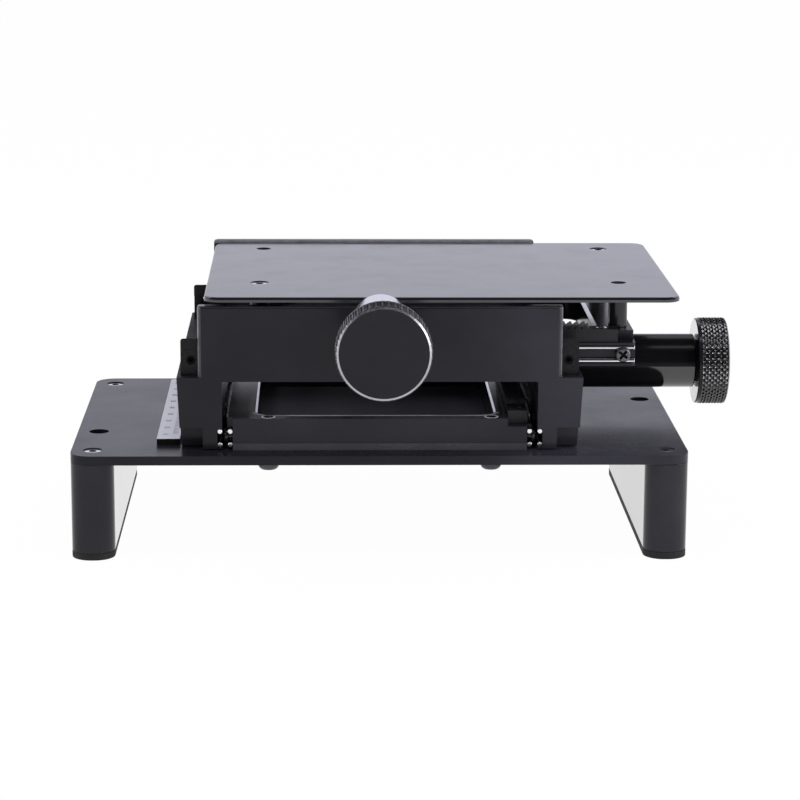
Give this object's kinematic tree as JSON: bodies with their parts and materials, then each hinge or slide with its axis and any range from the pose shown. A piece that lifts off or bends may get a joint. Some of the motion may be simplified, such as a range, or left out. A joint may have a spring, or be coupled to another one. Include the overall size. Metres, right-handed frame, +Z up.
{
  "type": "mechanical microscope stage",
  "caption": "Low two-axis mechanical stage: a plate on rack-driven crossed ball slides with front and side knobs, carried by a wide base plate on two legs.",
  "frame": {"origin": "middle of the bench bolt pattern, which is the middle of the base plate, on the floor plane", "axes": "+X to the right along the base plate and the travel of the top plate, +Y to the back along the travel of the carriage, +Z up out of the top plate"},
  "size_m": [0.2203, 0.1657, 0.0918],
  "materials": {
    "anodised_frame": "satin",
    "anodised_plate": "satin",
    "anodised_gloss": "gloss",
    "blackened_steel": "satin",
    "bright_steel": "polished",
    "screw_steel": "satin",
    "bronze": "satin",
    "nylon": "matte",
    "rubber": "matte",
    "scale_metal": "satin"
  },
  "bodies": {
    "base": {"base_plate": "anodised_frame", "left_leg": "anodised_frame", "right_leg": "anodised_frame", "left_foot_pad": "rubber", "right_foot_pad": "rubber", "base_plate_screws": "screw_steel", "lower_frame": "anodised_frame", "lower_frame_screws": "screw_steel", "lower_left_rods": "bright_steel", "lower_right_rods": "bright_steel", "y_rack": "blackened_steel", "y_rack_screws": "screw_steel", "y_scale": "scale_metal", "y_stop_screws": "screw_steel"},
    "y_carriage": {"carriage_frame": "anodised_frame", "carriage_left_rods": "bright_steel", "carriage_right_rods": "bright_steel", "carriage_front_rods": "bright_steel", "carriage_back_rods": "bright_steel", "rod_set_screws": "screw_steel", "x_barrel": "anodised_gloss", "x_bushes": "bronze", "x_barrel_screws": "screw_steel", "x_drag_washer": "nylon", "y_barrel": "anodised_gloss", "y_bushes": "bronze", "y_barrel_screws": "screw_steel", "y_drag_washer": "nylon"},
    "x_carriage": {"x_frame": "anodised_frame", "x_front_rods": "bright_steel", "x_back_rods": "bright_steel", "x_rack": "blackened_steel", "x_rack_screws": "screw_steel", "x_stop_screws": "screw_steel", "plate_posts": "blackened_steel", "accessory_posts": "blackened_steel", "top_plate": "anodised_plate", "top_plate_screws": "screw_steel"},
    "x_drive": {"x_knob": "anodised_gloss", "x_shaft": "bright_steel", "x_pinion": "bright_steel", "x_retaining_ring": "screw_steel", "x_knob_set_screw": "screw_steel"},
    "y_drive": {"y_knob": "anodised_gloss", "y_shaft": "bright_steel", "y_pinion": "bright_steel", "y_retaining_ring": "screw_steel", "y_knob_set_screw": "screw_steel"},
    "y_ball_train": {"y_ball_cages": "bronze", "y_balls": "bright_steel"},
    "x_ball_train": {"x_ball_cages": "bronze", "x_balls": "bright_steel"}
  },
  "joints": [
    {"name": "y_slide", "type": "slide", "parent": "base", "child": "y_carriage", "axis": [0, 1, 0], "range_m": [-0.0304, 0.0196]},
    {"name": "x_slide", "type": "slide", "parent": "y_carriage", "child": "x_carriage", "axis": [1, 0, 0], "range_m": [-0.045, 0.005]},
    {"name": "y_knob_turn", "type": "hinge", "parent": "y_carriage", "child": "y_drive", "pos_m": [0.0651, 0.0092, 0.0518], "axis": [1, 0, 0], "range_deg": [-268, 415.5]},
    {"name": "x_knob_turn", "type": "hinge", "parent": "y_carriage", "child": "x_drive", "pos_m": [0, -0.0516, 0.0769], "axis": [0, 1, 0], "range_deg": [-68.5, 614.5]},
    {"name": "y_ball_roll", "type": "slide", "parent": "base", "child": "y_ball_train", "axis": [0, 1, 0], "range_m": [-0.0153, 0.0099]},
    {"name": "x_ball_roll", "type": "slide", "parent": "y_carriage", "child": "x_ball_train", "axis": [1, 0, 0], "range_m": [-0.0226, 0.0026]}
  ],
  "couplings": [
    {"joint": "y_knob_turn", "follows": "y_slide", "rad_per_m": -238.1},
    {"joint": "x_knob_turn", "follows": "x_slide", "rad_per_m": -238.1},
    {"joint": "y_ball_roll", "follows": "y_slide", "ratio": 0.5},
    {"joint": "x_ball_roll", "follows": "x_slide", "ratio": 0.5}
  ]
}
